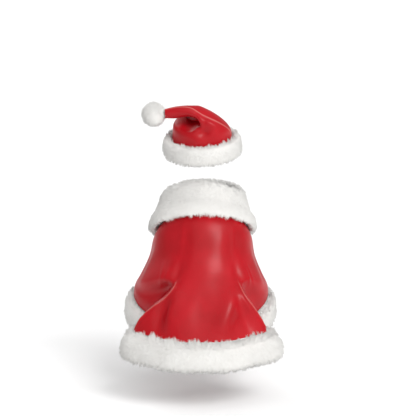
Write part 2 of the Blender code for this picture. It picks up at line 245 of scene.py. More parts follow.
@dataclass(frozen=True)
class TapePile:
    """Woven nylon tape, cut hooks on one half and brushed loops on the other."""

    # To the eye it is a dull flecked red. Hooks and loops are too fine to show, so the flecks are coarser.
    name: str
    colour: str
    fleck_mm: float = 10 / 9

    def build(self) -> Material:
        """Makes the nylon: dull red with a slight sheen.

        Returns:
            The material.
        """
        material, tree, shader = new_material(self.name)
        spot = add_node(tree, "TexCoord", output="Object")
        fleck = add_node(tree, "TexNoise", {"Scale": scale_for(self.fleck_mm), "Detail": 2.0, "Vector": spot})
        bump = add_node(tree, "Bump", {"Strength": 0.5, "Distance": 0.2 * MM, "Height": fleck})
        looks = {"Base Color": linear(self.colour), "Normal": bump, "Roughness": 0.6, "Sheen Weight": 0.3}
        set_node(shader, looks)
        return material


@dataclass(frozen=True)
class SewingThread:
    """Spun polyester sewing thread, dyed to the cloth."""

    # To the eye it is a dull red line. The real twist is too fine to show, so it is drawn coarser.
    colour: str = "#B5202C"
    twist_mm: float = 0.5

    def build(self) -> Material:
        """Makes the thread: a slanting twist and a dull sheen.

        Returns:
            The material.
        """
        material, tree, shader = new_material("spun_polyester_thread_red")
        spot = add_node(tree, "TexCoord", output="Object")
        bands = {"bands_direction": "DIAGONAL", "Scale": scale_for(self.twist_mm, WAVE_BAND), "Vector": spot}
        twist = add_node(tree, "TexWave", bands, "Fac")
        bump = add_node(tree, "Bump", {"Strength": 0.5, "Distance": 0.08 * MM, "Height": twist})
        looks = {"Base Color": linear(self.colour), "Normal": bump, "Roughness": 0.55, "Sheen Weight": 0.4}
        set_node(shader, looks)
        return material


HOOK_TAPE = TapePile("moulded_nylon_hook_tape_red", "#7E1620")
LOOP_TAPE = TapePile("brushed_nylon_loop_tape_red", "#93202B")


@dataclass
class Finishes:
    """All finishes of the costume, built once."""

    cloth: Material = field(default_factory=CoatedCloth().build)
    backing: Material = field(default_factory=KnitBacking().build)
    fur: Material = field(default_factory=PlushFur().build)
    hooks: Material = field(default_factory=HOOK_TAPE.build)
    loops: Material = field(default_factory=LOOP_TAPE.build)
    thread: Material = field(default_factory=SewingThread().build)


class Spline:
    """A natural cubic spline through values at rising knots."""

    def __init__(self, knots: Sequence[float], values: Sequence[Any]) -> None:
        """Solves the spline.

        Args:
            knots: Rising places.
            values: One number or array of numbers for each knot.
        """
        self.t = np.asarray(knots, float)
        self.p = np.asarray(values, float)
        count = len(self.t)
        step = np.diff(self.t)
        matrix = np.eye(count)
        bend = np.zeros_like(self.p)
        for i in range(1, count - 1):
            matrix[i, i - 1 : i + 2] = step[i - 1], 2 * (step[i - 1] + step[i]), step[i]
            rise, before = self.p[i + 1] - self.p[i], self.p[i] - self.p[i - 1]
            bend[i] = 6 * (rise / step[i] - before / step[i - 1])
        self.second = np.linalg.solve(matrix, bend.reshape(count, -1)).reshape(self.p.shape)

    def __call__(self, places: Sequence[float]) -> Array:
        """Reads the spline.

        Args:
            places: Where it is read.

        Returns:
            The values there.
        """
        x = np.asarray(places, float)
        i = np.clip(np.searchsorted(self.t, x, side="right") - 1, 0, len(self.t) - 2)
        shape = (-1,) + (1,) * (self.p.ndim - 1)
        h = (self.t[i + 1] - self.t[i]).reshape(shape)
        b = (x - self.t[i]).reshape(shape) / h
        a = 1 - b
        curve = (a**3 - a) * self.second[i] + (b**3 - b) * self.second[i + 1]
        return a * self.p[i] + b * self.p[i + 1] + curve * h**2 / 6


def unit(vectors: Array) -> Array:
    """Gives the vectors a length of 1."""
    return vectors / np.maximum(np.linalg.norm(vectors, axis=-1, keepdims=True), 1e-12)


def travelled(points: Array, axis: int = 0) -> Array:
    """Gives how far each point lies along its line of points, which runs along the axis."""
    steps = np.linalg.norm(np.diff(points, axis=axis), axis=-1)
    return np.insert(np.cumsum(steps, axis=axis), 0, 0.0, axis=axis)


def grid_normals(grid: Array) -> Array:
    """Works out the unit normals of a grid.

    They point outwards where rows run down it and columns run anticlockwise, seen from above.
    """
    return unit(np.cross(np.gradient(grid, axis=0), np.gradient(grid, axis=1)))


def grid_faces(i: Array) -> Array:
    """Gives the four corners of each face of a grid of point numbers."""
    return np.stack((i[:-1, :-1], i[1:, :-1], i[1:, 1:], i[:-1, 1:]), axis=-1).reshape(-1, 4)


def joining_faces(rim: Array, count: int) -> Array:
    """Gives the faces between a line of point numbers and the same line, count numbers further on."""
    return np.stack((rim[:-1], rim[1:], rim[1:] + count, rim[:-1] + count), axis=1)


def smooth_step(low: float, high: float, value: Any) -> Any:
    """Rises smoothly from 0 at low to 1 at high."""
    t = np.clip((value - low) / (high - low), 0.0, 1.0)
    return t * t * (3 - 2 * t)


def bilinear(values: Array, rows: Array, columns: Array) -> Array:
    """Reads a grid between its points.

    Args:
        values: The grid.
        rows: Places down it, counted in rows.
        columns: Places across it, counted in columns.

    Returns:
        The values there.
    """
    i = np.clip(np.floor(rows).astype(int), 0, values.shape[0] - 2)
    j = np.clip(np.floor(columns).astype(int), 0, values.shape[1] - 2)
    shape = (-1,) + (1,) * (values.ndim - 2)
    v, u = (rows - i).reshape(shape), (columns - j).reshape(shape)
    upper = values[i, j] * (1 - u) + values[i, j + 1] * u
    lower = values[i + 1, j] * (1 - u) + values[i + 1, j + 1] * u
    return upper * (1 - v) + lower * v


@dataclass(frozen=True)
class Crease:
    """A soft trough in a surface, or a ridge where its depth is below 0.

    Its path is given by places in the grid's own counts, across and down. A shoulder rises on both its sides.
    """

    path: tuple[tuple[float, float], ...]
    depth: float
    width: float
    shoulder: float = 0.25
    fade: float = 0.6
    steps: int = 48

    def lift(self, grid: Array, across: Array, down: Array) -> Array:
        """Works out how far it moves each point of a grid.

        Args:
            grid: The surface's points.
            across: The place of each column.
            down: The place of each row.

        Returns:
            The distance that each point moves out.
        """
        places = Spline(np.linspace(0, 1, len(self.path)), self.path)(np.linspace(0, 1, self.steps))
        columns = np.interp(places[:, 0], across, np.arange(len(across)))
        rows = np.interp(places[:, 1], down, np.arange(len(down)))
        line = bilinear(grid, rows, columns)
        normals = bilinear(grid_normals(grid), rows, columns)
        flat = grid.reshape(-1, 3)
        near = np.full(len(flat), np.inf)
        which = np.zeros(len(flat), int)
        for i, point in enumerate(line):
            gone = flat - point
            far = np.linalg.norm(gone, axis=1) + 2.0 * np.maximum(0.0, np.abs(gone @ normals[i]) - self.width)
            closer = far < near
            near[closer], which[closer] = far[closer], i
        taper = np.sin(np.pi * np.clip(which / (self.steps - 1), 0.02, 0.98)) ** self.fade
        profile = np.exp(-((near / self.width) ** 2))
        # The shoulder is highest 1.9 widths from the path.
        profile -= self.shoulder * np.exp(-(((near - 1.9 * self.width) / (0.9 * self.width)) ** 2))
        return (-self.depth * taper * profile).reshape(grid.shape[:2])


def crumple(grid: Array, normals: Array, creases: Iterable[Crease], across: Array, down: Array) -> Array:
    """Presses creases into a surface.

    Args:
        grid: The surface's points.
        normals: Its normals.
        creases: The creases.
        across: The place of each column.
        down: The place of each row.

    Returns:
        The moved points.
    """
    lift = sum(crease.lift(grid, across, down) for crease in creases)
    return grid + normals * np.asarray(lift)[..., None]


def join_costume(piece: Piece, replaces: str = "") -> Piece:
    """Joins a piece to the costume's one body.

    Args:
        piece: The piece.
        replaces: The CAD node that it stands for, if any.

    Returns:
        The piece.
    """
    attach(piece, BODY)
    if replaces:
        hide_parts(replaces)
    return piece


def make_piece(
    name: str,
    points: Array,
    faces: list[list[int]],
    finishes: Sequence[Material],
    replaces: str = "",
    smooth_below: float = 50.0,
) -> Piece:
    """Turns points in millimetres and faces into a piece of the costume.

    Args:
        name: The piece's name.
        points: Its points.
        faces: The point numbers of each face.
        finishes: Its materials.
        replaces: The CAD node that it stands for.
        smooth_below: Edges sharper than this many degrees stay sharp.

    Returns:
        The piece.
    """
    mesh = bpy.data.meshes.new(name)
    mesh.from_pydata((points * MM).tolist(), [], faces)
    mesh.shade_smooth()
    mesh.set_sharp_from_angle(angle=math.radians(smooth_below))
    for finish in finishes:
        mesh.materials.append(finish)
    piece = bpy.data.objects.new(name, mesh)
    bpy.context.scene.collection.objects.link(piece)
    return join_costume(piece, replaces)


@dataclass
class ClothShell:
    """A panel of cloth: its face on a grid of points, its wrong side a wall inwards, and its cut edges."""

    name: str
    face: Array
    normals: Array
    thickness: float
    # How strongly each point of the face takes the painted highlight.
    painted_highlight: Array | None = None

    def build(self, finishes: Sequence[Material], slot: Slot, replaces: str) -> Piece:
        """Builds the panel.

        Args:
            finishes: The materials of its face and of its wrong side.
            slot: The record's slot. It is not used.
            replaces: The CAD node that it stands for.

        Returns:
            The panel.
        """
        rows, columns = self.face.shape[:2]
        count = rows * columns
        wrong = self.face - self.normals * self.thickness
        i = np.arange(count).reshape(rows, columns)
        rim = np.concatenate((i[0, :-1], i[:-1, -1], i[-1, :0:-1], i[::-1, 0]))
        faces = np.concatenate((grid_faces(i), grid_faces(i + count)[:, ::-1], joining_faces(rim, count)))
        points = np.concatenate((self.face.reshape(-1, 3), wrong.reshape(-1, 3)))
        piece = make_piece(self.name, points, faces.tolist(), finishes, replaces)
        on_face = (rows - 1) * (columns - 1)
        index = np.repeat(np.array((0, 1), np.int32), (on_face, len(faces) - on_face))
        piece.data.polygons.foreach_set("material_index", index)
        self.add_cloth_map(piece.data, count)
        # The painted highlight along folds and seams, given per point for the cloth's material.
        painted_highlight = np.zeros((2, rows, columns), np.float32)
        if self.painted_highlight is not None:
            painted_highlight[:] = self.painted_highlight
        piece.data.attributes.new("painted_highlight", "FLOAT", "POINT").data.foreach_set("value", painted_highlight.ravel())
        return piece

    def add_cloth_map(self, mesh: bpy.types.Mesh, count: int) -> None:
        """Adds a UV map in metres along the cloth.

        Args:
            mesh: The panel's mesh.
            count: How many points its face has.
        """
        across, down = travelled(self.face, 1), travelled(self.face, 0)
        across -= across[:, across.shape[1] // 2, None]
        places = np.stack((across, down), axis=-1).reshape(-1, 2) * MM
        corners = np.empty(len(mesh.loops), np.int32)
        mesh.loops.foreach_get("vertex_index", corners)
        uv = places[corners % count].astype(np.float32)
        mesh.uv_layers.new(name="cloth").data.foreach_set("uv", uv.ravel())

    def area(self) -> float:
        """Gives the area of the face in square metres."""
        steps_down, steps_across = np.diff(self.face, axis=0), np.diff(self.face, axis=1)
        return float(np.linalg.norm(np.cross(steps_down[:, :-1], steps_across[:-1]), axis=-1).sum()) * MM * MM


@dataclass
class TrimSection:
    """The round-edged section of a fur band's backing, which lies a depth inside the band's own sizes.

    The powers of its inner side and of the rest give an ellipse at 1 and a fuller form below that.
    """

    thickness: float
    height: float
    depth: float
    inner: float = 0.75
    fullness: float = 0.75
    count: int = 28

    def __post_init__(self) -> None:
        """Works out the outline, out and down from its middle, and the same as shares of half its size."""
        half_thickness, half_height = self.thickness / 2 - self.depth, self.height / 2 - self.depth
        angles = np.linspace(0.0, 2 * math.pi, self.count + 1)
        sine, cosine = np.sin(angles), np.cos(angles)
        power = np.where(sine < 0, self.inner, self.fullness)
        self.out = half_thickness * np.sign(sine) * np.abs(sine) ** power
        self.down = -half_height * np.sign(cosine) * np.abs(cosine) ** self.fullness
        self.outward, self.lower = self.out / half_thickness, self.down / half_height

    def width(self) -> float:
        """Gives the way round the section in metres."""
        return float(travelled(np.stack((self.out, self.down), axis=1))[-1]) * MM


@dataclass
class FurBand:
    """A band of fur fabric, in rows of points that each go round one section and end at its first point."""

    sections: Array
    finish: Material
    sweep_lay: float = 0.3
    upper_lay: float = 0.8
    end_lay: float = 0.9
    end_reach: float = 6.0

    def __post_init__(self) -> None:
        """Works out the band's middle, the way along it, and the normals that point out of it."""
        grid = self.sections
        self.middle = grid.mean(axis=1)
        self.along = unit(np.gradient(self.middle, axis=0))
        self.ring = bool(np.allclose(grid[0], grid[-1]))
        around = np.gradient(np.concatenate((grid[:, -2:-1], grid, grid[:, 1:2]), axis=1), axis=1)[:, 1:-1]
        if self.ring:
            along = np.gradient(np.concatenate((grid[-2:-1], grid, grid[1:2])), axis=0)[1:-1]
        else:
            along = np.gradient(grid, axis=0)
        self.normals = unit(np.cross(around, along))

    def build(self, name: str, replaces: str, wall: float = 0.0) -> Piece:
        """Builds the band's backing.

        Args:
            name: The piece's name.
            replaces: The CAD node that it stands for.
            wall: Its thickness where it is rolled into a tube. Without one it is folded flat on itself.

        Returns:
            The backing.
        """
        outer = self.sections[:-1, :-1] if self.ring else self.sections[:, :-1]
        rows, columns = outer.shape[:2]
        count = rows * columns
        i = np.arange(count).reshape(rows, columns)
        wrapped = np.pad(i, ((0, int(self.ring)), (0, 1)), mode="wrap")
        quads = grid_faces(wrapped)[:, TURNED]
        points = outer.reshape(-1, 3)
        if wall:
            inner = outer - self.normals[:rows, :-1] * wall
            points = np.concatenate((points, inner.reshape(-1, 3)))
            layers = [quads, quads[:, ::-1] + count]
            if not self.ring:
                first, last = (joining_faces(wrapped[end], count) for end in (0, -1))
                layers += [first[:, ::-1], last]
            faces = np.concatenate(layers).tolist()
        else:
            faces = [*quads.tolist(), i[0][::-1].tolist(), i[-1].tolist()]
        return make_piece(name, points, faces, [self.finish], replaces)

    def patchy(self, low: float, high: float, size: float) -> Array:
        """Gives an uneven share that changes along the band.

        Args:
            low: The least share.
            high: The greatest share.
            size: Size of its patches.

        Returns:
            The share of each section.
        """
        rough = np.array([noise.noise(Vector(point / size)) for point in self.middle])
        return (low + (high - low) * smooth_step(-0.35, 0.35, rough))[:, None]

    def sweep(self, upper: Array) -> Array:
        """Gives the lay towards the left at the back, stronger where a point belongs to the upper part."""
        return -self.along[:, None] * (self.sweep_lay + self.upper_lay * upper)[:, None]

    def towards_ends(self) -> Array:
        """Turns the pile over the band's two ends.

        Returns:
            The lay of each section.
        """
        gone = travelled(self.middle)
        end = smooth_step(self.end_reach, 0.0, gone[-1] - gone) - smooth_step(self.end_reach, 0.0, gone)
        return (self.along * end[:, None])[:, None] * self.end_lay


@dataclass
class Roots:
    """Where fibres grow: places, normals, the lay of the pile and the share of its full length."""

    points: Array
    normals: Array
    lay: Array
    share: Array

    def part(self, chosen: Array) -> "Roots":
        """Gives the chosen roots alone."""
        return Roots(self.points[chosen], self.normals[chosen], self.lay[chosen], self.share[chosen])


@dataclass(frozen=True)
class Pile:
    """Fur fibres, drawn as three-sided spikes that gather in locks.

    Real fibres are too fine to show, so these are thicker and fewer. The glow leans the normals by which they
    are shaded upwards, as light that is scattered in the pile evens its shading.
    """

    length: float
    width: float = 1.0
    spacing: float = 0.82
    lock: float = 3.2
    gather: float = 0.5
    uneven: float = 0.3
    stray: float = 0.16
    wave: float = 0.45
    wave_size: float = 12.0
    sink: float = 0.8
    roundness: float = 0.45
    tip_lean: float = 0.6
    glow: tuple[float, float, float] = (0.0, 0.0, 0.6)
    seed: int = 1

    def sow(self, band: FurBand, lay: Array, share: Array, density: Array) -> Roots:
        """Sows roots evenly over a band.

        Args:
            band: The band.
            lay: The direction in which the pile lies at each point, added to the normal.
            share: The pile's length at each point, as a share of the full one.
            density: How densely it grows at each point, as a share of the full density.

        Returns:
            The roots.
        """
        rng = np.random.default_rng(self.seed)
        grid = band.sections
        share, density = (np.broadcast_to(values, grid.shape[:2]) for values in (share, density))
        one = grid[1:, 1:] - grid[:-1, :-1]
        other = grid[1:, :-1] - grid[:-1, 1:]
        area = np.linalg.norm(np.cross(one, other), axis=-1) / 2
        full = (density[1:, 1:] + density[:-1, :-1] + density[1:, :-1] + density[:-1, 1:]) / 4
        counts = np.floor(area * full / self.spacing**2 + rng.random(area.shape)).astype(int)
        rows, columns = np.nonzero(counts)
        times = counts[rows, columns]
        v = np.repeat(rows, times) + rng.random(times.sum())
        u = np.repeat(columns, times) + rng.random(times.sum())
        lay = np.broadcast_to(lay, grid.shape)
        points, normals, lay, share = (bilinear(values, v, u) for values in (grid, band.normals, lay, share))
        return Roots(points, unit(normals), lay, share)

    def directions(self, roots: Roots, rng: np.random.Generator) -> Array:
        """Works out each fibre's run from its root to its tip.

        Args:
            roots: Where the fibres grow.
            rng: Source of the random draws.

        Returns:
            One vector for each fibre.
        """
        count = len(roots.points)
        heading = unit(roots.normals + roots.lay)
        lengths = self.length * roots.share * (1 + self.uneven * rng.uniform(-1, 1, count))
        own = unit(heading + self.stray * rng.normal(size=(count, 3))) * lengths[:, None]
        leaders = rng.choice(count, max(1, int(count * (self.spacing / self.lock) ** 2)), replace=False)
        # Without a seed of its own, noise_vector takes its offsets from the clock.
        noise.seed_set(self.seed)
        waves = np.array([noise.noise_vector(Vector(roots.points[i] / self.wave_size)) for i in leaders])
        led = unit(heading[leaders] + self.wave * waves + 0.5 * self.stray * rng.normal(size=waves.shape))
        led *= (lengths[leaders] * (1 + 0.1 * rng.uniform(-1, 1, len(leaders))))[:, None]
        keys = roots.points + roots.normals * self.length
        tree = kdtree.KDTree(len(leaders))
        for i, leader in enumerate(leaders):
            tree.insert(keys[leader], i)
        tree.balance()
        nearest = np.array([tree.find(key)[1] for key in keys])
        tips = roots.points[leaders][nearest] + led[nearest]
        return own * (1 - self.gather) + (tips - roots.points) * self.gather

    def grow(self, name: str, roots: Roots, finish: Material) -> Piece:
        """Grows the fibres as one piece.

        Args:
            name: The piece's name.
            roots: Where they grow.
            finish: Their material.

        Returns:
            The piece.
        """
        rng = np.random.default_rng(self.seed)
        run = self.directions(roots, rng)
        along = unit(run)
        side = unit(np.cross(along, roots.lay + np.array((0.31, 0.57, 0.11))))
        other = np.cross(along, side)
        turn = rng.uniform(0, 2 * math.pi, len(run))
        thick = self.width * rng.uniform(0.75, 1.25, len(run)) / 2
        points = np.empty((len(run), 4, 3))
        normals = np.empty_like(points)
        for corner in range(3):
            angle = turn + corner * 2 * math.pi / 3
            ring = side * np.cos(angle)[:, None] + other * np.sin(angle)[:, None]
            points[:, corner] = roots.points - along * self.sink + ring * thick[:, None]
            normals[:, corner] = unit(roots.normals + self.glow + self.roundness * ring)
        points[:, 3] = roots.points + run
        normals[:, 3] = unit(roots.normals + self.glow + self.tip_lean * along)
        spike = np.array(((0, 2, 1), (0, 1, 3), (1, 2, 3), (2, 0, 3)))
        faces = (np.arange(len(run))[:, None, None] * 4 + spike).reshape(-1, 3).tolist()
        piece = make_piece(name, points.reshape(-1, 3), faces, [finish], smooth_below=180.0)
        piece.data.normals_split_custom_set_from_vertices(normals.reshape(-1, 3).tolist())
        # Light passes through white plush, and these two stand for that.
        piece.visible_shadow = False
        piece.visible_diffuse = False
        self.add_bake_map(piece.data, len(run))
        return piece

    def add_bake_map(self, mesh: bpy.types.Mesh, count: int) -> None:
        """Lays each fibre's faces side by side in a cell of their own on the bake's map.

        Args:
            mesh: The fibres' mesh.
            count: How many fibres it has.
        """
        side = math.ceil(math.sqrt(count))
        cell = np.stack((np.arange(count) % side, np.arange(count) // side), axis=1)
        base = ((0.2, 0.9), (0.33, 0.2), (0.46, 0.9))
        walls = [((i / 3, 0.0), ((i + 1) / 3, 0.0), ((i + 0.5) / 3, 0.95)) for i in range(3)]
        corners = np.array((base, *walls)) * 0.92 + 0.04
        places = (cell[:, None, None] + corners) / side
        mesh.uv_layers.new(name="OFBake").data.foreach_set("uv", places.astype(np.float32).ravel())


@dataclass(frozen=True)
class CapeRing:
    """A ring round the cape: how far down it is, its back, widest and front points, how late it turns."""

    down: float
    back: tuple[float, float]
    side: tuple[float, float, float]
    front: tuple[float, float]
    late: float = 1.0


@dataclass(frozen=True)
class FoldLine:
    """A line down the cape: its angles, columns, and left x, right x, y and z on the three lowest rings."""

    left: float
    right: float
    columns: int
    upper: tuple[float, ...] = ()
    lower: tuple[float, ...] = ()
    hem: tuple[float, ...] = ()


@dataclass
class CapeForm:
    """The cape's surface, with the neck seam at the origin and its front edges at +Y."""

    neck_radius: float = 38.5
    neck_lean: float = math.radians(28.0)
    shoulder_radius: float = 58.0
    shoulder_drop: float = 23.0
    front_gap: float = 4.0
    sway: float = 0.032
    fold_lines: tuple[FoldLine, ...] = (
        FoldLine(17, 27, 12, (26, 38, -120, -87), (27, 33, -136, -112), (27, 29, -146, -136)),
        FoldLine(20.5, 32, 16, (34, 47, -115, -85.5), (49, 55, -121, -110.5), (57, 60, -128, -134)),
        FoldLine(24, 36, 30, (41, 54, -112, -83.5), (70.5, 72, -112, -108.5), (83, 84.5, -108, -130.5)),
        FoldLine(28.5, 41, 30, (40, 52, -94, -82), (57, 60, -86, -103.5), (64, 66, -78, -123)),
        FoldLine(50, 56, 14, (68, 71, -65, -88), (76, 77, -57, -100.5), (77.5, 78, -54, -113)),
        FoldLine(90, 90, 12),
        FoldLine(135, 135, 12),
        FoldLine(180, 180, 12),
    )

    def __post_init__(self) -> None:
        """Works out the rings and the spline down them."""
        self.rings = (
            self.neck_ring(0.0, self.neck_radius, 0.0),
            self.neck_ring(0.14, self.shoulder_radius, -self.shoulder_drop),
            CapeRing(0.42, (-90, -42), (68, -17, -52), (49, -64), 1.3),
            CapeRing(0.58, (-109, -68), (78.3, -23, -75), (54, -75), 1.5),
            CapeRing(0.70, (-122, -87), (83.5, -25, -85), (56, -80), 1.6),
            CapeRing(0.85, (-137, -113), (86.5, -27, -93.5), (57.5, -85), 1.8),
            CapeRing(1.0, (-148, -136), (87, -28, -101), (58, -90), 2.0),
        )
        middle = [self.ring_point(ring, 0.0, 1) for ring in self.rings]
        left = [self.line_points(line, -1) for line in reversed(self.fold_lines)]
        right = [self.line_points(line, 1) for line in self.fold_lines]
        lines = np.array([*left, middle, *right])
        self.half = len(self.fold_lines)
        self.down = Spline([ring.down for ring in self.rings], lines.swapaxes(0, 1))

    def on_neck(self, radius: float, height: float, angle: float) -> Array:
        """Gives a point round the leaning neck.

        Args:
            radius: Its distance from the neck's axis.
            height: Its height along the axis.
            angle: Its angle from the middle of the back.

        Returns:
            The point.
        """
        across, back = radius * math.sin(angle), radius * math.cos(angle)
        lean, rise = math.cos(self.neck_lean), math.sin(self.neck_lean)
        return np.array((across, -back * lean + height * rise, back * rise + height * lean))

    def neck_ring(self, down: float, radius: float, height: float) -> CapeRing:
        """Gives a ring of the cape that leans with the neck."""
        back, side, front = (self.on_neck(radius, height, math.radians(a)) for a in (0, 90, 180))
        return CapeRing(down, tuple(back[1:]), tuple(side), tuple(front[1:]))

    def ring_point(self, ring: CapeRing, angle: float, side: int) -> Array:
        """Gives a point of a ring.

        Args:
            ring: The ring.
            angle: The point's angle from the middle of the back.
            side: 1 for the right side and -1 for the left.

        Returns:
            The point.
        """
        end = ring.back if angle < math.pi / 2 else ring.front
        share = abs(math.cos(angle))
        x = side * ring.side[0] * math.sin(angle)
        y = ring.side[1] + (end[0] - ring.side[1]) * share
        z = ring.side[2] + (end[1] - ring.side[2]) * share**ring.late
        return np.array((x, y, z))

    def line_points(self, line: FoldLine, side: int) -> list[Array]:
        """Gives a line's points.

        Args:
            line: The line.
            side: 1 for the right side and -1 for the left.

        Returns:
            One point for each ring.
        """
        angle = math.radians(line.right if side > 0 else line.left)
        points = [self.ring_point(ring, angle, side) for ring in self.rings]
        for i, place in enumerate((line.upper, line.lower, line.hem), len(self.rings) - 3):
            if place:
                left, right, y, z = place
                points[i] = np.array((right if side > 0 else -left, y, z))
        if line is self.fold_lines[-1]:
            for point in points:
                point[0] = side * self.front_gap / 2
        return points

    def across(self) -> Array:
        """Gives the places of the columns.

        Returns:
            Each column's place, counted in lines from the middle of the back, below 0 on the left.
        """
        parts = [i + np.arange(line.columns) / line.columns for i, line in enumerate(self.fold_lines)]
        right = np.concatenate((*parts, (float(self.half),)))
        return np.concatenate((-right[:0:-1], right))

    def surface(self, across: Array, down: Array) -> Array:
        """Gives points of the outer face.

        Args:
            across: The place of each column, counted in lines.
            down: The place of each row, as a share of the way to the hem.

        Returns:
            Rows of points.
        """
        grid = []
        for row in self.down(down):
            knots = travelled(row)
            places = np.interp(np.asarray(across) + self.half, np.arange(len(knots)), knots)
            grid.append(Spline(knots, row)(places))
        return self.swayed(grid)

    def swayed(self, points: Any) -> Array:
        """Adds the costume's lean to its right.

        Args:
            points: Points that don't lean.

        Returns:
            The same points, leaning.
        """
        moved = np.array(points, float)
        moved[..., 0] += self.sway * moved[..., 2]
        return moved


@dataclass
class Cape:
    """The cape's one panel of coated cloth, open at the neck, at the hem and down the front."""

    form: CapeForm
    finishes: Finishes
    thickness: float = 1.2
    rows: int = 84
    crests: tuple[float, float] = (-3.0, 3.0)
    fold_tip: float = 0.56
    # Strength, and width in mm, of the painted highlight along the folds' crests.
    highlight_paint: tuple[float, float] = (0.34, 0.9)
    creases: tuple[Crease, ...] = (
        Crease(((-3.0, 0.60), (-3.0, 0.80), (-3.0, 1.04)), -0.8, 1.5, 0.4, 0.25),
        Crease(((3.0, 0.60), (3.0, 0.80), (3.0, 1.04)), -0.8, 1.5, 0.4, 0.25),
        Crease(((-2.6, 0.50), (-3.4, 0.56), (-3.9, 0.64)), 0.9, 7.0, 0.1),
        Crease(((2.6, 0.50), (3.4, 0.56), (3.9, 0.64)), 0.9, 7.0, 0.1),
        Crease(((-2.0, 0.62), (-1.7, 0.78), (-1.3, 0.97)), -3.0, 8.0, 0.2),
        Crease(((1.06, 0.606), (0.95, 0.80), (0.8, 0.95)), -2.3, 9.0, 0.2),
        Crease(((-2.6, 0.72), (-2.13, 0.806), (-1.875, 1.0)), 2.2, 7.0, 0.1),
        Crease(((1.875, 0.675), (2.0, 0.794), (2.07, 0.994)), 2.0, 7.0, 0.1),
        Crease(((-4.75, 0.45), (-4.6, 0.57), (-4.62, 0.70)), -0.6, 2.6),
        Crease(((-4.35, 0.50), (-4.36, 0.57), (-4.45, 0.66)), -0.5, 2.2),
        Crease(((4.60, 0.48), (4.64, 0.58), (4.60, 0.68)), -0.6, 2.4),
        Crease(((4.85, 0.46), (4.95, 0.56), (4.90, 0.66)), -0.5, 2.2),
        Crease(((-5.6, 0.30), (-5.75, 0.48), (-5.7, 0.68)), 0.9, 6.0),
        Crease(((5.6, 0.32), (5.7, 0.50), (5.6, 0.70)), 0.9, 6.0),
        Crease(((0.9, 0.24), (0.6, 0.36), (0.75, 0.52)), -0.8, 12.0, 0.0),
        Crease(((-1.6, 0.22), (-1.9, 0.36), (-2.3, 0.50)), 0.8, 8.0),
        Crease(((1.9, 0.22), (2.1, 0.36), (2.4, 0.50)), 0.7, 7.0),
        Crease(((-7.0, 0.30), (-6.8, 0.55), (-6.5, 0.85)), 1.4, 7.0),
        Crease(((7.0, 0.32), (6.8, 0.58), (6.4, 0.88)), 1.4, 7.0),
        Crease(((-7.6, 0.62), (-7.3, 0.80), (-7.2, 0.98)), -1.2, 6.0),
        Crease(((7.6, 0.60), (7.35, 0.78), (7.2, 0.98)), -1.2, 6.0),
    )

    def build(self) -> list[Piece]:
        """Builds the panel.

        Returns:
            The one piece.
        """
        across = self.form.across()
        down = np.linspace(0.0, 1.0, self.rows + 1)
        grid = self.form.surface(across, down)
        grid = crumple(grid, grid_normals(grid), self.creases, across, down)
        # A painted highlight: paler colour along the folds' crests.
        painted_highlight = self.painted_highlight(grid, across, down)
        shell = ClothShell("cape_cloth", grid, grid_normals(grid), self.thickness, painted_highlight)
        piece = shell.build([self.finishes.cloth, self.finishes.backing], Slot.CLOTH, "cape_panel")
        return [piece]

    def painted_highlight(self, grid: Array, across: Array, down: Array) -> Array:
        """Works out a painted highlight along the folds' edges.

        Args:
            grid: The panel's points.
            across: The place of each column.
            down: The place of each row.

        Returns:
            The painted highlight's strength at each point, 0 for none.
        """
        arc = travelled(grid, 1)
        result = np.zeros(grid.shape[:2])
        most, width = self.highlight_paint
        for crest in self.crests:
            middle = arc[:, np.argmin(np.abs(across - crest)), None]
            result += most * np.exp(-(((arc - middle) / width) ** 2))
        return result * smooth_step(self.fold_tip, self.fold_tip + 0.08, down)[:, None]


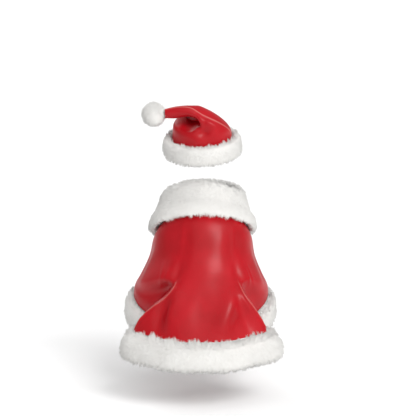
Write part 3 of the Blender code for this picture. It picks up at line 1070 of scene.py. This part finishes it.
@dataclass
class HemTrim:
    """The fur band sewn to the cape's hem, one strip from front edge to front edge."""

    form: CapeForm
    finishes: Finishes
    height: float = 37.0
    thickness: float = 25.0
    wall: float = 1.0
    gap: float = 0.3
    inset: float = 0.6
    hang: float = 0.12
    depth: float = 4.8
    pile: Pile = Pile(length=7.0, width=1.2, seed=11)
    edge_pile: Pile = Pile(10.0, width=0.9, spacing=0.72, gather=0.65, uneven=0.4, wave=0.55, seed=12)

    def frames(self) -> tuple[Array, Array, Array]:
        """Reads the cape along its hem.

        Returns:
            The points of the hem, and the directions out of the cloth and down along it.
        """
        grid = self.form.surface(self.form.across(), np.array((0.97, 0.985, 1.0)))
        hem = grid[-1]
        down = unit(unit(hem - grid[0]) * (1 - self.hang) + np.array((0.0, 0.0, -1.0)) * self.hang)
        around = unit(np.gradient(hem, axis=0))
        for front in (0, -1):
            down[front, 0] = 0.0
            around[front] = (-1.0, 0.0, 0.0)
        out = unit(np.cross(down, around))
        return hem, out, unit(np.cross(around, out))

    def build(self) -> list[Piece]:
        """Builds the band's backing and its pile.

        Returns:
            The pieces.
        """
        hem, out, down = self.frames()
        core = TrimSection(self.thickness, self.height, self.depth)
        middle = hem - out * self.inset + down * (self.height / 2 + self.gap)
        out, down = out[:, None], down[:, None]
        sections = middle[:, None] + out * core.out[:, None] + down * core.down[:, None]
        band = FurBand(sections, self.finishes.fur)
        backing = band.build("hem_fur_backing", "hem_band", self.wall)
        flat = (round(float(travelled(middle)[-1]) * MM, 3), round(core.width(), 3))
        lay = down * (1.1 * smooth_step(-0.9, -0.4, core.lower))[:, None]
        lay = lay + band.sweep(smooth_step(-0.2, -0.5, core.lower))
        share = 1 - 0.45 * smooth_step(0.2, 0.9, -core.outward)
        density = 1 - 0.65 * smooth_step(0.2, 0.8, -core.outward)
        roots = self.pile.sow(band, lay + band.towards_ends(), share, density)
        left = roots.points[:, 0] < np.median(roots.points[:, 0])
        pieces = [backing]
        for name, chosen in (("hem_fur_left", left), ("hem_fur_right", ~left)):
            pieces.append(self.pile.grow(name, roots.part(chosen), self.finishes.fur))
        edge = smooth_step(-0.62, -0.8, core.lower) * smooth_step(-0.2, 0.1, core.outward)
        ragged = band.patchy(0.5, 1.05, 6.5) * (1 - 0.45 * smooth_step(-78.0, -58.0, middle[:, 1]))[:, None]
        locks = self.edge_pile.sow(band, -down * 1.6 + out * 0.15, ragged, edge)
        return [*pieces, self.edge_pile.grow("hem_edge_locks", locks, self.finishes.fur)]


@dataclass
class Collar:
    """The fur collar, a stand round the neck that folds over into a fall."""

    form: CapeForm
    finishes: Finishes
    stand: float = 20.0
    stand_middle: float = 11.0
    gap: float = 0.3
    roll: float = 6.0
    half_thickness: tuple[float, float, float] = (1.3, 1.7, 2.3)
    fall: tuple[tuple[float, float], ...] = ((53.6, 13.2), (57.5, 1.0), (63.5, -9.5), (66.0, -17.5))
    end: float = math.radians(174.5)
    rounding: float = math.radians(24.0)
    end_share: float = 0.45
    # Above 1, the sections lie closer together towards the two ends.
    crowding: float = 1.3
    sections: int = 121
    count: int = 28
    tip_turns: tuple[float, ...] = (-60, -30, 0, 30, 60)
    pile: Pile = Pile(length=5.0, width=1.15, spacing=0.84, lock=2.8, seed=21)
    edge_pile: Pile = Pile(length=9.5, width=1.0, spacing=0.7, lock=2.4, gather=0.35, uneven=0.25, seed=22)
    nap: tuple[float, float, float] = (-0.6, 0.0, -0.35)
    rim_nap: tuple[float, float, float] = (0.0, 0.5, 0.0)

    def middle_line(self, share: float) -> Array:
        """Gives the middle line of the section.

        Args:
            share: Share of the fall.

        Returns:
            Pairs of radius and height, from the neck seam to the fall's edge.
        """
        radius = self.form.neck_radius
        roll = [
            (radius + self.roll * (1 - math.cos(a)), self.stand + self.roll * math.sin(a))
            for a in np.radians((0, 45, 90, 135))
        ]
        fall = Spline(range(len(self.fall)), self.fall)(np.linspace(0.0, (len(self.fall) - 1) * share, 4))
        knots = np.array([(radius, self.gap), (radius, self.stand_middle), *roll, *fall])
        return Spline(range(len(knots)), knots)(np.linspace(0, len(knots) - 1, self.count))

    def outline(self, share: float) -> Array:
        """Gives the closed outline round the middle line.

        Args:
            share: Share of the fall.

        Returns:
            Pairs of radius and height: along the outer side, round the tip and back along the hidden side.
        """
        middle = self.middle_line(share)
        knots = (0, self.count * 0.4, self.count - 1)
        half = Spline(knots, [(t,) for t in self.half_thickness])(np.arange(self.count))
        along = unit(np.gradient(middle, axis=0))
        outside = np.stack((-along[:, 1], along[:, 0]), axis=1) * half
        turns = np.radians(self.tip_turns)
        tip = [middle[-1] + along[-1] * half[-1] * math.cos(a) - outside[-1] * math.sin(a) for a in turns]
        return np.concatenate((middle + outside, tip, (middle - outside)[::-1], (middle + outside)[:1]))

    def build(self) -> list[Piece]:
        """Builds the collar's backing and its pile.

        Returns:
            The pieces.
        """
        turns = np.linspace(-1.0, 1.0, self.sections)
        grid = []
        for turn in turns:
            angle = math.copysign(self.end * (1 - (1 - abs(turn)) ** self.crowding), turn)
            to_end = min(1.0, (self.end - abs(angle)) / self.rounding)
            share = self.end_share + (1 - self.end_share) * math.sqrt(1 - (1 - to_end) ** 2)
            ring = [self.form.on_neck(radius, height, angle) for radius, height in self.outline(share)]
            grid.append(self.form.swayed(ring))
        band = FurBand(np.array(grid), self.finishes.fur)
        backing = band.build("collar_backing", "collar")
        # How far along the outline each point lies: 0 at the neck seam, 1 at the fall's edge, and below 0
        # on the side that the fold hides.
        line = np.linspace(0, 1, self.count)
        place = np.concatenate((line, np.ones(len(self.tip_turns)), -line[::-1], (0.0,)))
        down = unit(np.gradient(band.sections, axis=1))
        density = np.select((place < -0.85, place < 0, place < 0.42), (0.7, 0.12, 0.6), 1.0)
        share = np.select((place < 0, place < 0.42), (0.45, 0.6), 1.0)
        onto_fall = 0.9 * smooth_step(0.5, 0.68, place) + 0.9 * smooth_step(0.72, 0.95, place)
        standing = smooth_step(0.54, 0.44, place)[:, None]
        nap = np.array(self.nap) * (1 - standing)
        outer = down * onto_fall[:, None] + nap + np.array(self.rim_nap) * standing
        lay = np.where((place > 0.3)[:, None], outer, down * 0.1)
        roots = self.pile.sow(band, lay + band.towards_ends(), share, density)
        fur = self.pile.grow("collar_fur", roots, self.finishes.fur)
        round_back = 0.75 + 0.25 * smooth_step(0.5, 0.1, np.abs(turns))
        inward = 0.5 + 0.9 * smooth_step(0.15, 0.35, np.abs(turns))[:, None, None]
        onto_cape = down * 2.2 - unit(band.sections) * inward
        ragged = band.patchy(0.65, 1.05, 5.0) * round_back[:, None]
        locks = self.edge_pile.sow(band, onto_cape, ragged, smooth_step(0.86, 0.93, place))
        return [backing, fur, self.edge_pile.grow("collar_edge_locks", locks, self.finishes.fur)]


@dataclass(frozen=True)
class HatRing:
    """A ring of the crown: how far up it is, its inner and outer seam points, its breadth and its rise."""

    along: float
    inner: tuple[float, float, float]
    outer: tuple[float, float, float]
    breadth: float
    rise: float


@dataclass(frozen=True)
class Dent:
    """A round dent in the crown: its angle in degrees, its share of the way up, its depth and its width."""

    angle: float
    along: float
    depth: float
    width: float


@dataclass
class Hat:
    """The cone hat: two panels sewn into a crown that folds over to the left, a fur brim and a pompom."""

    finishes: Finishes
    centre: tuple[float, float, float] = (-2.0, 30.0, 96.7)
    lean: float = math.radians(14.0)
    tilt: float = math.radians(2.5)
    thickness: float = 1.2
    rows: int = 100
    columns: int = 64
    rings: tuple[HatRing, ...] = (
        HatRing(0.0, (-39.2, 0, -5), (39.2, 0, -5), 36.2, 0),
        HatRing(0.17, (-37.8, 0, 11), (36.8, -5, 12), 34, 1),
        HatRing(0.28, (-35.0, -1, 20), (28.8, -13, 23), 28, 5.5),
        HatRing(0.38, (-25, -2, 24), (17.5, -17, 31.5), 22.3, 7.2),
        HatRing(0.50, (-8, -3, 29), (2, -15.5, 38.5), 15, 6.5),
        HatRing(0.66, (-14, -5, 32), (-12, -11, 45), 10.5, 2),
        HatRing(0.83, (-30.5, -5.5, 29.2), (-30, -8, 45.5), 8.5, 0),
        HatRing(1.0, (-46.8, -6, 29.8), (-46.2, -6.5, 42.2), 5.6, 0),
    )
    dents: tuple[Dent, ...] = (Dent(-42, 0.42, 6.5, 7.0), Dent(-12, 0.48, 4.5, 5.5), Dent(15, 0.31, 4.6, 8.5))
    tucks: tuple[Dent, ...] = (
        Dent(-95, 0.37, 13.0, 6.0),
        Dent(-72, 0.39, 19.0, 6.5),
        Dent(-48, 0.425, 23.0, 6.5),
        Dent(-22, 0.47, 15.0, 5.5),
    )
    tuck_way: tuple[float, float, float] = (0.1, 0.95, 0.3)
    creases: tuple[Crease, ...] = (
        Crease(((-29, 0.25), (0, 0.30), (20, 0.325), (49, 0.28)), 1.6, 6.0, 0.3, 0.8),
        Crease(((50, 0.54), (56, 0.40), (57, 0.29)), -1.2, 3.5, 0.2, 0.8),
        Crease(((58, 0.59), (49, 0.535), (28, 0.50), (5, 0.45), (-18, 0.38)), -1.8, 3.2, 0.3, 0.8),
    )
    seams: tuple[float, float] = (-90.0, 77.0)
    seam_rise: float = 0.5
    seam_width: float = 1.5
    # The strength of a painted highlight along the seam's ridge, and its width in mm.
    seam_highlight: float = 0.55
    seam_line: float = 0.8
    # The creases fade out over this many degrees beside a seam.
    seam_margin: float = 16.0
    brim_radii: tuple[float, float] = (46.0, 43.0)
    brim_top: float = 2.5
    brim_height: float = 28.0
    brim_thickness: float = 13.0
    brim_depth: float = 3.6
    brim_inner: float = 0.3
    brim_wall: float = 1.0
    brim_sections: int = 181
    brim_pile: Pile = Pile(length=5.4, seed=31, lock=2.8)
    lock_pile: Pile = Pile(length=6.5, width=0.9, spacing=0.8, lock=2.6, gather=0.6, uneven=0.35, seed=32)
    mouth_wall: float = 1.6
    pompom_gap: float = 0.3
    pompom_radius: float = 15.2
    # How deep the core lies, as a share of the pile's length.
    pompom_depth: float = 0.56
    pompom_nap: tuple[float, float, float] = (-0.75, 0.5, 0.05)
    pompom_shift: float = 1.4
    pompom_pile: Pile = Pile(length=7.0, width=0.9, spacing=0.62, lock=2.4, gather=0.3, wave=0.2, seed=41)

    def __post_init__(self) -> None:
        """Works out the crown's spline and the hat's turn."""
        table = [(ring.inner, ring.outer, (0.0, ring.breadth, ring.rise)) for ring in self.rings]
        self.spline = Spline([ring.along for ring in self.rings], table)
        c, s = math.cos(self.lean), math.sin(self.lean)
        backwards = np.array(((1, 0, 0), (0, c, -s), (0, s, c)))
        c, s = math.cos(-self.tilt), math.sin(-self.tilt)
        sideways = np.array(((c, 0, s), (0, 1, 0), (-s, 0, c)))
        self.turn = backwards @ sideways

    def placed(self, points: Array) -> Array:
        """Turns points in the hat's own frame to the costume's."""
        return points @ self.turn.T + np.array(self.centre)

    def surface(self, angles: Array, along: Array) -> Array:
        """Gives points of the crown.

        Args:
            angles: The place of each column in radians, 0 at the back and a quarter turn at the outer seam.
            along: The place of each row, as a share of the way to the tail's end.

        Returns:
            Rows of points in the hat's own frame.
        """
        inner, outer, away = (self.spline(along)[:, i, None] for i in range(3))
        sine, cosine = np.sin(angles)[None, :, None], np.cos(angles)[None, :, None]
        return (inner + outer) / 2 + (outer - inner) / 2 * sine - away * cosine

    def dented(self, grid: Array) -> Array:
        """Presses the dents and the deeper tucks that the fold makes into the crown.

        Args:
            grid: The crown's points in the hat's own frame.

        Returns:
            The moved points.
        """
        moves = ((self.dents, 2, -grid_normals(grid)), (self.tucks, 3, np.array(self.tuck_way)))
        result = grid
        for dents, power, way in moves:
            for dent in dents:
                middle = self.surface(np.radians((dent.angle,)), np.array((dent.along,)))[0, 0]
                far = np.linalg.norm(grid - middle, axis=2, keepdims=True)
                result = result + way * dent.depth * np.exp(-((far / dent.width) ** power))
        return result

    def build(self) -> list[Piece]:
        """Builds the crown's panels, the brim and the pompom."""
        return [*self.build_crown(), *self.build_brim(), *self.build_pompom()]

    def build_crown(self) -> list[Piece]:
        """Builds the crown.

        Returns:
            Its two panels.
        """
        along = np.linspace(1.0, 0.0, self.rows + 1)
        inner, outer = self.seams
        pieces = []
        panels = (("crown_back", inner, outer, -2), ("crown_front", outer, inner + 360, 1))
        for name, start, stop, seam in panels:
            angles = start + (stop - start) / self.columns * np.arange(-1, self.columns + 2)
            grid = self.dented(self.surface(np.radians(angles), along))
            if name == "crown_back":
                normals = grid_normals(grid)[::-1]
                pressed = crumple(grid[::-1], normals, self.creases, angles, along[::-1])[::-1]
                inside = smooth_step(0, self.seam_margin, np.minimum(angles - start, stop - angles))
                grid = grid + (pressed - grid) * inside[None, :, None]
            grid = self.placed(grid)
            gone = np.linalg.norm(grid - grid[:, seam, None], axis=2)
            rise = self.seam_rise * np.exp(-((gone / self.seam_width) ** 2))
            grid = grid + grid_normals(grid) * rise[..., None]
            # A painted highlight along the seam's ridge.
            painted_highlight = self.seam_highlight * np.exp(-((gone[:, 1:-1] / self.seam_line) ** 2))
            normals = grid_normals(grid)[:, 1:-1]
            shell = ClothShell(f"{name}_cloth", grid[:, 1:-1], normals, self.thickness, painted_highlight)
            piece = shell.build([self.finishes.cloth, self.finishes.backing], Slot.CLOTH, name)
            pieces.append(piece)
        return pieces

    def build_brim(self) -> list[Piece]:
        """Builds the brim.

        Returns:
            Its backing and its pile.
        """
        core = TrimSection(self.brim_thickness, self.brim_height, self.brim_depth, self.brim_inner)
        angles = np.linspace(0.0, 2 * math.pi, self.brim_sections)
        away = np.stack((np.sin(angles), -np.cos(angles)), axis=1)
        flat = away[:, None] * (np.array(self.brim_radii) + core.out[:, None])
        height = (self.brim_top - self.brim_height / 2 - core.down)[:, None]
        sections = self.placed(np.concatenate((flat, np.broadcast_to(height, (*flat.shape[:2], 1))), axis=2))
        sections[-1] = sections[0]
        band = FurBand(sections, self.finishes.fur)
        backing = band.build("brim_backing", "brim", self.brim_wall)
        size = (round(math.pi * sum(self.brim_radii) * MM, 3), round(core.width(), 3))
        upper = -core.lower
        up = self.turn[:, 2]
        thin = smooth_step(0.2, 0.8, -core.outward) * smooth_step(0.6, 0.1, upper)
        share = 1 - 0.6 * thin
        roots = self.brim_pile.sow(band, up * -0.9 + band.sweep(smooth_step(0.3, 0.6, upper)), share, share)
        fur = self.brim_pile.grow("brim_fur", roots, self.finishes.fur)
        inward = unit(sections.mean(axis=(0, 1)) - sections) * 0.5 + up * 0.9
        edge = smooth_step(0.62, 0.8, upper) * smooth_step(0.6, 0.2, core.outward)
        locks = self.lock_pile.sow(band, inward, band.patchy(0.55, 1.0, 6.0), edge)
        return [backing, fur, self.lock_pile.grow("brim_edge_locks", locks, self.finishes.fur)]

    def build_pompom(self) -> list[Piece]:
        """Builds the pompom, a ball of pile in the mouth of the tail.

        Returns:
            Its core and its pile.
        """
        inner, outer = self.placed(self.surface(np.radians((-90, 90)), np.array((0.97, 1.0)))).swapaxes(0, 1)
        middles = (inner + outer) / 2
        mouth = np.linalg.norm(outer[1] - inner[1]) / 2 - self.mouth_wall
        reach = math.sqrt((self.pompom_radius + self.pompom_gap) ** 2 - mouth**2)
        centre = middles[1] + unit(middles[1] - middles[0]) * (reach - self.pompom_shift)
        radius = self.pompom_radius - self.pompom_depth * self.pompom_pile.length
        bpy.ops.object.select_all(action="DESELECT")
        bpy.ops.mesh.primitive_ico_sphere_add(subdivisions=4, radius=radius * MM, location=centre * MM)
        core = bpy.context.object
        core.name = core.data.name = "pompom_core"
        bpy.ops.object.transform_apply(location=True, rotation=True, scale=True)
        bpy.ops.object.shade_smooth()
        core.data.materials.append(self.finishes.fur)
        join_costume(core, "pompom")
        count = int(4 * math.pi * radius**2 / self.pompom_pile.spacing**2)
        i = np.arange(count) + 0.5
        polar, azimuth = np.arccos(1 - 2 * i / count), math.pi * (1 + math.sqrt(5)) * i
        ball = (np.cos(azimuth) * np.sin(polar), np.sin(azimuth) * np.sin(polar), np.cos(polar))
        normals = np.stack(ball, axis=1)
        lay = np.tile(self.pompom_nap, (count, 1))
        roots = Roots(centre + normals * radius, normals, lay, np.ones(count))
        return [core, self.pompom_pile.grow("pompom_fur", roots, self.finishes.fur)]


@dataclass(frozen=True)
class StitchLine:
    """A line of lockstitch, drawn as short threads that dip into the cloth at both ends.

    The threads are about twice as thick as real ones, which are too fine to show.
    """

    stitch: float = 2.4
    gap: float = 0.7
    radius: float = 0.3
    rise: float = 0.3
    ends: tuple[float, ...] = (0.5, 1.0, 1.0, 1.0, 0.5)
    sides: int = 6

    def sew(self, name: str, line: Array, up: Array, finish: Material) -> Piece:
        """Sews along a line.

        Args:
            name: The piece's name.
            line: Points of the line on the cloth.
            up: The cloth's normals there.
            finish: The thread's material.

        Returns:
            The threads as one piece.
        """
        gone = travelled(line)
        starts = np.arange(self.gap, gone[-1] - self.stitch, self.stitch + self.gap)
        share = np.linspace(0.0, 1.0, len(self.ends))
        places = starts[:, None] + share * self.stitch
        points, out = (np.stack([np.interp(places, gone, v) for v in rows.T], axis=-1) for rows in (line, up))
        points += unit(out) * (self.rise * np.sin(math.pi * share))[:, None]
        along = unit(np.gradient(points, axis=1))
        side = unit(np.cross(along, out))
        angles = np.linspace(0.0, 2 * math.pi, self.sides, endpoint=False)[:, None]
        wide = side[:, :, None] * np.cos(angles) + np.cross(side, along)[:, :, None] * np.sin(angles)
        rings = points[:, :, None] + self.radius * wide * np.array(self.ends)[:, None, None]
        i = np.arange(len(self.ends) * self.sides).reshape(-1, self.sides)
        quads = grid_faces(np.pad(i, ((0, 0), (0, 1)), mode="wrap"))[:, TURNED]
        one = [*quads.tolist(), i[0][::-1].tolist(), i[-1].tolist()]
        faces = [[corner + i.size * n for corner in face] for n in range(len(starts)) for face in one]
        return make_piece(name, rings.reshape(-1, 3), faces, [finish])


@dataclass
class Closure:
    """The tab across the front opening, with a hook patch under it and a loop patch on the panel."""

    form: CapeForm
    finishes: Finishes
    rows: tuple[float, float] = (0.30, 0.56)
    reach: float = 0.42
    patch: tuple[float, float] = (0.05, 0.36)
    tab_thickness: float = 1.4
    patch_thickness: float = 1.0
    gap: float = 0.3
    tab_points: int = 24
    patch_points: int = 14
    box: tuple[tuple[float, float], ...] = ((3, 3), (20, 3), (20, 20), (3, 20), (3, 3))
    side_points: int = 30
    thread: StitchLine = StitchLine()

    def strip(self, name: str, thickness: float, places: Array, lift: Array, count: int) -> ClothShell:
        """Gives a strip across the front opening.

        Args:
            name: The strip's name.
            thickness: Its thickness.
            places: The place of each column, counted in lines.
            lift: How far each column lies off the panel.
            count: Points down the strip.

        Returns:
            The strip.
        """
        grid = self.form.surface(places, np.linspace(*self.rows, count))
        normals = grid_normals(grid)
        return ClothShell(name, grid + normals * lift[None, :, None], normals, thickness)

    def build(self) -> list[Piece]:
        """Builds the tab, the two patches and the stitches.

        Returns:
            The pieces.
        """
        half = self.form.half
        loop_lift = self.gap + self.patch_thickness
        hook_lift = loop_lift + self.gap + self.patch_thickness
        lifts = (self.gap + self.tab_thickness, hook_lift + self.gap + self.tab_thickness)
        lift = np.repeat(lifts, self.tab_points)
        right = np.linspace(half - self.reach, half, self.tab_points)
        places = np.concatenate((right, np.linspace(0.0, self.reach, self.tab_points) - half))
        tab = self.strip("closure_tab_cloth", self.tab_thickness, places, lift, self.tab_points)
        made = [tab.build([self.finishes.cloth, self.finishes.backing], Slot.CLOTH, "closure_tab")]
        places = np.linspace(*self.patch, self.patch_points) - half
        patches = (("loop", loop_lift, self.finishes.loops), ("hook", hook_lift, self.finishes.hooks))
        for name, height, finish in patches:
            lift = np.full(self.patch_points, height)
            patch = self.strip(f"closure_{name}_tape", self.patch_thickness, places, lift, self.patch_points)
            piece = patch.build([finish, finish], Slot.TAPE, f"closure_{name}")
            made.append(piece)
        corners = np.array(self.box, float)
        path = np.concatenate([np.linspace(a, b, self.side_points) for a, b in zip(corners, corners[1:])])
        line, up = (bilinear(values, path[:, 0], path[:, 1]) for values in (tab.face, tab.normals))
        return [*made, self.thread.sew("closure_stitches", line, up, self.finishes.thread)]


@dataclass(frozen=True)
class Lamp:
    """A distant lamp: its name, the side it shines from, the angle across it in degrees and its strength."""

    name: str
    place: tuple[float, float, float]
    angle: float
    power: float


@dataclass
class Studio:
    """A plain pale floor, soft light, and the camera at the photograph's angle."""

    elevation: float = math.radians(10.0)
    distance: float = 2400.0
    mm_per_pixel: float = 1.3
    picture: int = 416
    origin_pixel: tuple[float, float] = (203.5, 213.0)
    floor_height: float = -222.0
    surround: float = 0.44
    lamps: tuple[Lamp, ...] = (
        Lamp("key", (0.8, -1.2, 1.4), 100.0, 1.18),
        Lamp("accent", (0.9, -1.15, 1.4), 30.0, 1.5),
        Lamp("fill", (-0.9, -1.6, 0.6), 110.0, 0.24),
        Lamp("back", (-0.9, 1.4, 1.3), 30.0, 0.7),
    )

    def build(self) -> None:
        """Builds the floor, the light and the camera."""
        self.build_floor()
        self.build_light()
        self.build_camera()

    def build_floor(self) -> None:
        """Builds the floor, which reaches past the camera's view."""
        bpy.ops.object.select_all(action="DESELECT")
        bpy.ops.mesh.primitive_plane_add(size=60.0, location=(0.0, 0.0, self.floor_height * MM))
        floor = bpy.context.object
        floor.name = "studio_floor"
        material, _, shader = new_material("matt_paper_white")
        set_node(shader, {"Base Color": linear("#FAFAFA"), "Roughness": 0.95, "Specular IOR Level": 0.1})
        floor.data.materials.append(material)

    def build_light(self) -> None:
        """Builds the surround and the lamps: two behind the camera to the right, a fill and a back light."""
        scene = bpy.context.scene
        scene.view_settings.view_transform = "Standard"
        world = bpy.data.worlds.new("pale_surround")
        world.use_nodes = True
        pale = {"Color": linear("#FFFFFF"), "Strength": self.surround}
        set_node(world.node_tree.nodes["Background"], pale)
        scene.world = world
        for lamp in self.lamps:
            bpy.ops.object.light_add(type="SUN", location=lamp.place)
            light = bpy.context.object
            light.name = lamp.name
            light.data.angle = math.radians(lamp.angle)
            light.data.energy = lamp.power
            light.rotation_euler = Vector(lamp.place).to_track_quat("Z", "Y").to_euler()

    def build_camera(self) -> None:
        """Builds the camera, which frames the costume as the photograph does."""
        data = bpy.data.cameras.new("camera")
        camera = bpy.data.objects.new("camera", data)
        bpy.context.scene.collection.objects.link(camera)
        back = Vector((0.0, -math.cos(self.elevation), math.sin(self.elevation)))
        camera.location = back * self.distance * MM
        camera.rotation_euler = back.to_track_quat("Z", "Y").to_euler()
        data.sensor_width = 36.0
        data.lens = data.sensor_width * self.distance / (self.picture * self.mm_per_pixel)
        data.shift_x = (self.picture / 2 - self.origin_pixel[0]) / self.picture
        data.shift_y = (self.origin_pixel[1] - self.picture / 2) / self.picture
        bpy.context.scene.camera = camera


def main() -> None:
    """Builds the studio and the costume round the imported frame, and reports each piece."""
    logging.basicConfig(level=logging.INFO, format="%(message)s")
    bpy.ops.object.select_all(action="DESELECT")
    finishes = Finishes()
    form = CapeForm()
    Studio().build()
    cape_parts = [maker(form, finishes) for maker in (Cape, HemTrim, Collar, Closure)]
    for sub_assembly in (*cape_parts, Hat(finishes)):
        for piece in sub_assembly.build():
            mesh = piece.data
            log.info("%s: %d points, %d faces", piece.name, len(mesh.vertices), len(mesh.polygons))


if __name__ == "__main__":
    main()
